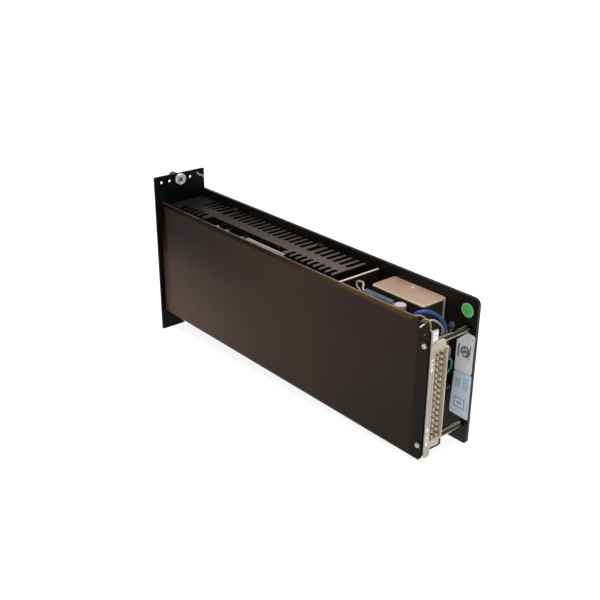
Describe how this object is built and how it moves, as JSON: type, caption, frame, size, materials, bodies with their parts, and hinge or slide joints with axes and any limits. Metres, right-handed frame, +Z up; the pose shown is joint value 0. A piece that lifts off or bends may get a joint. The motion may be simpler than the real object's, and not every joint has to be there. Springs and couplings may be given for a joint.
{
  "type": "servo drive",
  "caption": "Slim plug-in servo drive with a black front panel, dark side cover, slotted vent plate, open rear bay with a filter can and leads, and a rear pin connector.",
  "frame": {"origin": "centre of the front panel's rear face, which seats against the rack", "axes": "+Y from the front panel towards the rear connector, +Z up, +X towards the sheet side cover"},
  "size_m": [0.0606, 0.3914, 0.1704],
  "materials": {
    "black_panel": "satin black anodised",
    "brown_cover": "satin dark brown",
    "black_aluminium": "black anodised, slightly glossy",
    "black_sheet": "satin black",
    "brassy_sheet": "yellow passivated",
    "tin_can": "warm satin tin",
    "plated_steel": "nickel plated",
    "black_steel": "blackened",
    "raw_aluminium": "plain",
    "connector_plastic": "cream, glass filled",
    "pin_metal": "tinned",
    "green_board": "green solder mask",
    "black_plastic": "moulded",
    "grey_plastic": "moulded",
    "blue_plastic": "moulded",
    "red_plastic": "moulded",
    "yellow_tape": "taped winding",
    "copper_winding": "enamelled winding",
    "fuse_glass": "clear",
    "grey_pad": "silicone pad",
    "pale_capacitor": "dipped",
    "sleeve_grey": "soft sleeve",
    "blue_insulation": "insulation",
    "lilac_insulation": "insulation",
    "brown_insulation": "insulation",
    "earth_insulation": "yellow and green insulation",
    "teal_insulation": "insulation",
    "white_insulation": "insulation",
    "label_paper": "printed foil"
  },
  "bodies": {
    "chassis": {"bay_terminal_block": "grey_plastic", "blue_lead": "blue_insulation", "board_header": "black_plastic", "board_link": "black_plastic", "board_standoffs": "plated_steel", "bottom_vent_plate": "black_sheet", "brown_lead": "brown_insulation", "bulkhead": "brassy_sheet", "bulkhead_grommet": "black_plastic", "bus_capacitors": "blue_plastic", "cable_sleeve": "sleeve_grey", "can_bracket": "brassy_sheet", "clamp_bars": "raw_aluminium", "connector_board": "green_board", "connector_bracket": "raw_aluminium", "connector_pins": "pin_metal", "connector_screws": "plated_steel", "connector_shroud": "connector_plastic", "connector_tags": "label_paper", "control_board": "green_board", "control_chips": "black_plastic", "corner_blocks": "raw_aluminium", "cover_screws": "plated_steel", "cover_washers": "black_steel", "earth_lead": "earth_insulation", "earth_terminal": "plated_steel", "ferrules": "plated_steel", "film_capacitors": "red_plastic", "filter_can": "tin_can", "front_panel": "black_panel", "fuse_clips": "pin_metal", "fuses": "fuse_glass", "heat_sink_plate": "black_aluminium", "heat_sink_screws": "black_steel", "lilac_lead": "lilac_insulation", "looped_lead": "brown_insulation", "option_socket": "connector_plastic", "panel_screws": "black_steel", "plate_labels": "label_paper", "power_board": "green_board", "power_transistors": "black_plastic", "relay": "black_plastic", "ripple_choke": "copper_winding", "shunt_resistor": "raw_aluminium", "side_cover": "brown_cover", "signal_transformer": "yellow_tape", "status_leds": "red_plastic", "suppressor_capacitor": "pale_capacitor", "teal_lead": "teal_insulation", "tie_rods": "plated_steel", "top_vent_plate": "black_sheet", "transistor_pads": "grey_pad", "trimmers": "blue_plastic", "vent_lugs": "brassy_sheet", "vent_screws": "black_steel", "white_lead": "white_insulation"},
    "upper_screw_slider": {"upper_retaining_ring": "plated_steel"},
    "upper_captive_screw": {"upper_thumb_screw": "plated_steel"},
    "lower_screw_slider": {"lower_retaining_ring": "plated_steel"},
    "lower_captive_screw": {"lower_thumb_screw": "plated_steel"}
  },
  "joints": [
    {"name": "upper_screw_travel", "type": "slide", "parent": "chassis", "child": "upper_screw_slider", "axis": [0, 1, 0], "range_m": [0, 0.004]},
    {"name": "upper_screw_turn", "type": "hinge", "parent": "upper_screw_slider", "child": "upper_captive_screw", "pos_m": [0, 0.0015, 0.079], "axis": [0, 1, 0], "continuous": true},
    {"name": "lower_screw_travel", "type": "slide", "parent": "chassis", "child": "lower_screw_slider", "axis": [0, 1, 0], "range_m": [0, 0.004]},
    {"name": "lower_screw_turn", "type": "hinge", "parent": "lower_screw_slider", "child": "lower_captive_screw", "pos_m": [0, 0.0015, -0.079], "axis": [0, 1, 0], "continuous": true}
  ]
}
